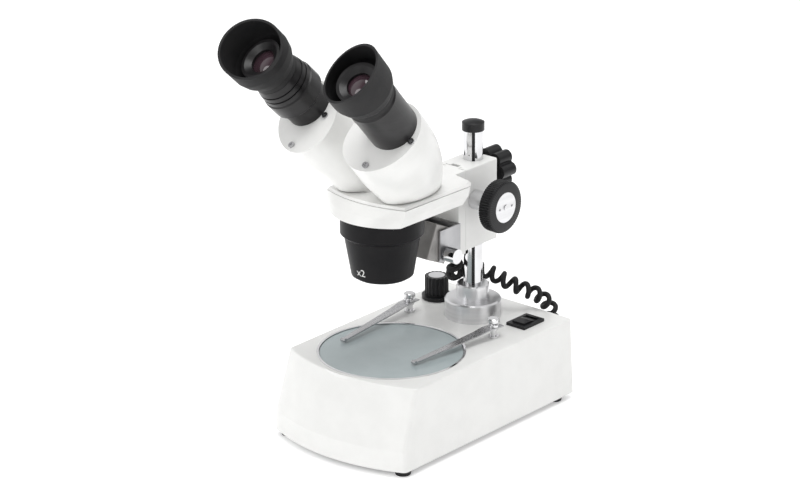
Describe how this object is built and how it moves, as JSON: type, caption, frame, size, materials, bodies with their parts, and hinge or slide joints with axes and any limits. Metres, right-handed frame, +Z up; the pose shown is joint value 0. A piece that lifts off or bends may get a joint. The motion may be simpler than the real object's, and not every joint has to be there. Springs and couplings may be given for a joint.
{
  "type": "stereo microscope",
  "caption": "Stereo microscope with inclined twin eyepieces on a pillar stand, rack focus, turret, tilting lamp and lit base stage.",
  "frame": {"origin": "middle of the footprint, on the surface that it stands on", "axes": "+Z up, -Y towards the user and the stage, +X to the user's right"},
  "size_m": [0.127, 0.2345, 0.2912],
  "materials": {
    "white_enamel": "semi-gloss",
    "black_trim": "matt",
    "black_metal": "satin",
    "grey_lamp": "satin",
    "rubber": "matt",
    "chrome": "polished",
    "steel": "brushed",
    "aluminium": "turned",
    "frosted": "frosted",
    "optical_glass": "clear",
    "electrics": "plain"
  },
  "bodies": {
    "base": {"base_shell": "white_enamel", "base_cover": "black_trim", "cover_screws": "chrome", "rubber_feet": "rubber", "stage_plate": "frosted", "stage_ring": "chrome", "clip_posts": "chrome", "pillar": "chrome", "pillar_flange": "steel", "pillar_collar": "chrome", "pillar_nut": "steel", "pillar_cap": "black_trim", "dimmer_pot": "steel", "switch_bezel": "black_trim", "power_inlet": "black_trim", "transformer": "electrics", "base_lamp": "electrics", "cord_gland": "rubber", "curly_cord": "rubber"},
    "clip_left": {"clip_left": "steel"},
    "clip_right": {"clip_right": "steel"},
    "dimmer": {"dimmer_knob": "black_trim", "dimmer_cap": "aluminium"},
    "rocker": {"rocker": "black_trim"},
    "carriage": {"focus_block": "white_enamel", "cord_relief": "rubber"},
    "clamp": {"clamp_knob": "black_trim", "clamp_screw": "steel"},
    "focus_drive": {"focus_shaft": "steel", "knob_hubs": "aluminium", "focus_knobs": "black_trim"},
    "head": {"head_slide": "white_enamel", "focus_rack": "steel", "head_plate": "white_enamel", "head_cover": "white_enamel", "lamp_bracket": "black_metal"},
    "turret": {"turret_cup": "white_enamel", "objective_barrels": "black_metal", "objective_lenses": "optical_glass"},
    "lamp": {"lamp_housing": "grey_lamp", "lamp_glass": "frosted", "lamp_bulb": "optical_glass"},
    "lamp_knob": {"lamp_knob": "chrome"},
    "pod_right": {"prism_housing_right": "white_enamel", "prism_right": "optical_glass", "end_plate_right": "white_enamel", "plate_screws_right": "steel", "eye_tube_right": "black_metal"},
    "pod_left": {"prism_housing_left": "white_enamel", "prism_left": "optical_glass", "end_plate_left": "white_enamel", "plate_screws_left": "steel", "eye_tube_left": "black_metal"},
    "eyepiece_right": {"eyepiece_right": "black_metal", "eye_lens_right": "optical_glass"},
    "eyepiece_left": {"eyepiece_left": "black_metal", "eye_lens_left": "optical_glass"},
    "diopter": {"diopter_ring": "black_metal"},
    "eyecup_right": {"eyecup_right": "rubber"},
    "eyecup_left": {"eyecup_left": "rubber"}
  },
  "joints": [
    {"name": "clip_left_swing", "type": "hinge", "parent": "base", "child": "clip_left", "pos_m": [-0.0365, 0.0426, 0.0645], "axis": [0, 0, 1], "range_deg": [-60, 18]},
    {"name": "clip_right_swing", "type": "hinge", "parent": "base", "child": "clip_right", "pos_m": [0.0365, 0.0426, 0.0645], "axis": [0, 0, 1], "range_deg": [-14, 65]},
    {"name": "dimmer_turn", "type": "hinge", "parent": "base", "child": "dimmer", "pos_m": [-0.0385, 0.0736, 0.0575], "axis": [0, 0, 1], "range_deg": [-150, 150]},
    {"name": "rocker_tilt", "type": "hinge", "parent": "base", "child": "rocker", "pos_m": [0.0372, 0.0756, 0.0581], "axis": [1, 0, 0], "range_deg": [0, 16]},
    {"name": "carriage_slide", "type": "slide", "parent": "base", "child": "carriage", "axis": [0, 0, 1], "range_m": [-0.02, 0.015], "deforming": ["curly_cord"]},
    {"name": "clamp_turn", "type": "hinge", "parent": "carriage", "child": "clamp", "pos_m": [0, 0.0806, 0.1565], "axis": [0, 1, 0], "range_deg": [-30, 330]},
    {"name": "focus_slide", "type": "slide", "parent": "carriage", "child": "head", "axis": [0, 0, 1], "range_m": [-0.016, 0.026]},
    {"name": "focus_turn", "type": "hinge", "parent": "carriage", "child": "focus_drive", "pos_m": [0, 0.0529, 0.1459], "axis": [1, 0, 0], "range_deg": [-285, 176]},
    {"name": "turret_turn", "type": "hinge", "parent": "head", "child": "turret", "pos_m": [0, -0.0264, 0.1555], "axis": [0, 0, 1], "range_deg": [0, 90]},
    {"name": "lamp_tilt", "type": "hinge", "parent": "head", "child": "lamp", "pos_m": [0, 0.0216, 0.117], "axis": [1, 0, 0], "range_deg": [-8, 16]},
    {"name": "lamp_knob_turn", "type": "hinge", "parent": "head", "child": "lamp_knob", "pos_m": [0, 0.0216, 0.117], "axis": [1, 0, 0], "range_deg": [-180, 180]},
    {"name": "pod_right_swing", "type": "hinge", "parent": "head", "child": "pod_right", "pos_m": [0.012, -0.0264, 0.1675], "axis": [0, 0, 1], "range_deg": [-7, 2]},
    {"name": "pod_left_swing", "type": "hinge", "parent": "head", "child": "pod_left", "pos_m": [-0.012, -0.0264, 0.1675], "axis": [0, 0, 1], "range_deg": [-2, 7]},
    {"name": "eyepiece_right_lift", "type": "slide", "parent": "pod_right", "child": "eyepiece_right", "axis": [0.1009, -0.6999, 0.7071], "range_m": [0, 0.022]},
    {"name": "diopter_slide", "type": "slide", "parent": "pod_left", "child": "eyepiece_left", "axis": [-0.1009, -0.6999, 0.7071], "range_m": [-0.0025, 0.0025]},
    {"name": "diopter_turn", "type": "hinge", "parent": "eyepiece_left", "child": "diopter", "pos_m": [-0.03682, -0.0682, 0.24083], "axis": [-0.1009, -0.6999, 0.7071], "range_deg": [-152, 152]},
    {"name": "eyecup_right_turn", "type": "hinge", "parent": "eyepiece_right", "child": "eyecup_right", "pos_m": [0.03944, -0.08639, 0.25921], "axis": [0.1009, -0.6999, 0.7071], "range_deg": [-90, 90]},
    {"name": "eyecup_left_turn", "type": "hinge", "parent": "eyepiece_left", "child": "eyecup_left", "pos_m": [-0.03964, -0.08779, 0.26063], "axis": [-0.1009, -0.6999, 0.7071], "range_deg": [-90, 90]}
  ],
  "couplings": [
    {"joint": "focus_turn", "follows": "focus_slide", "rad_per_m": -190.48},
    {"joint": "diopter_turn", "follows": "diopter_slide", "rad_per_m": 1047.2}
  ]
}
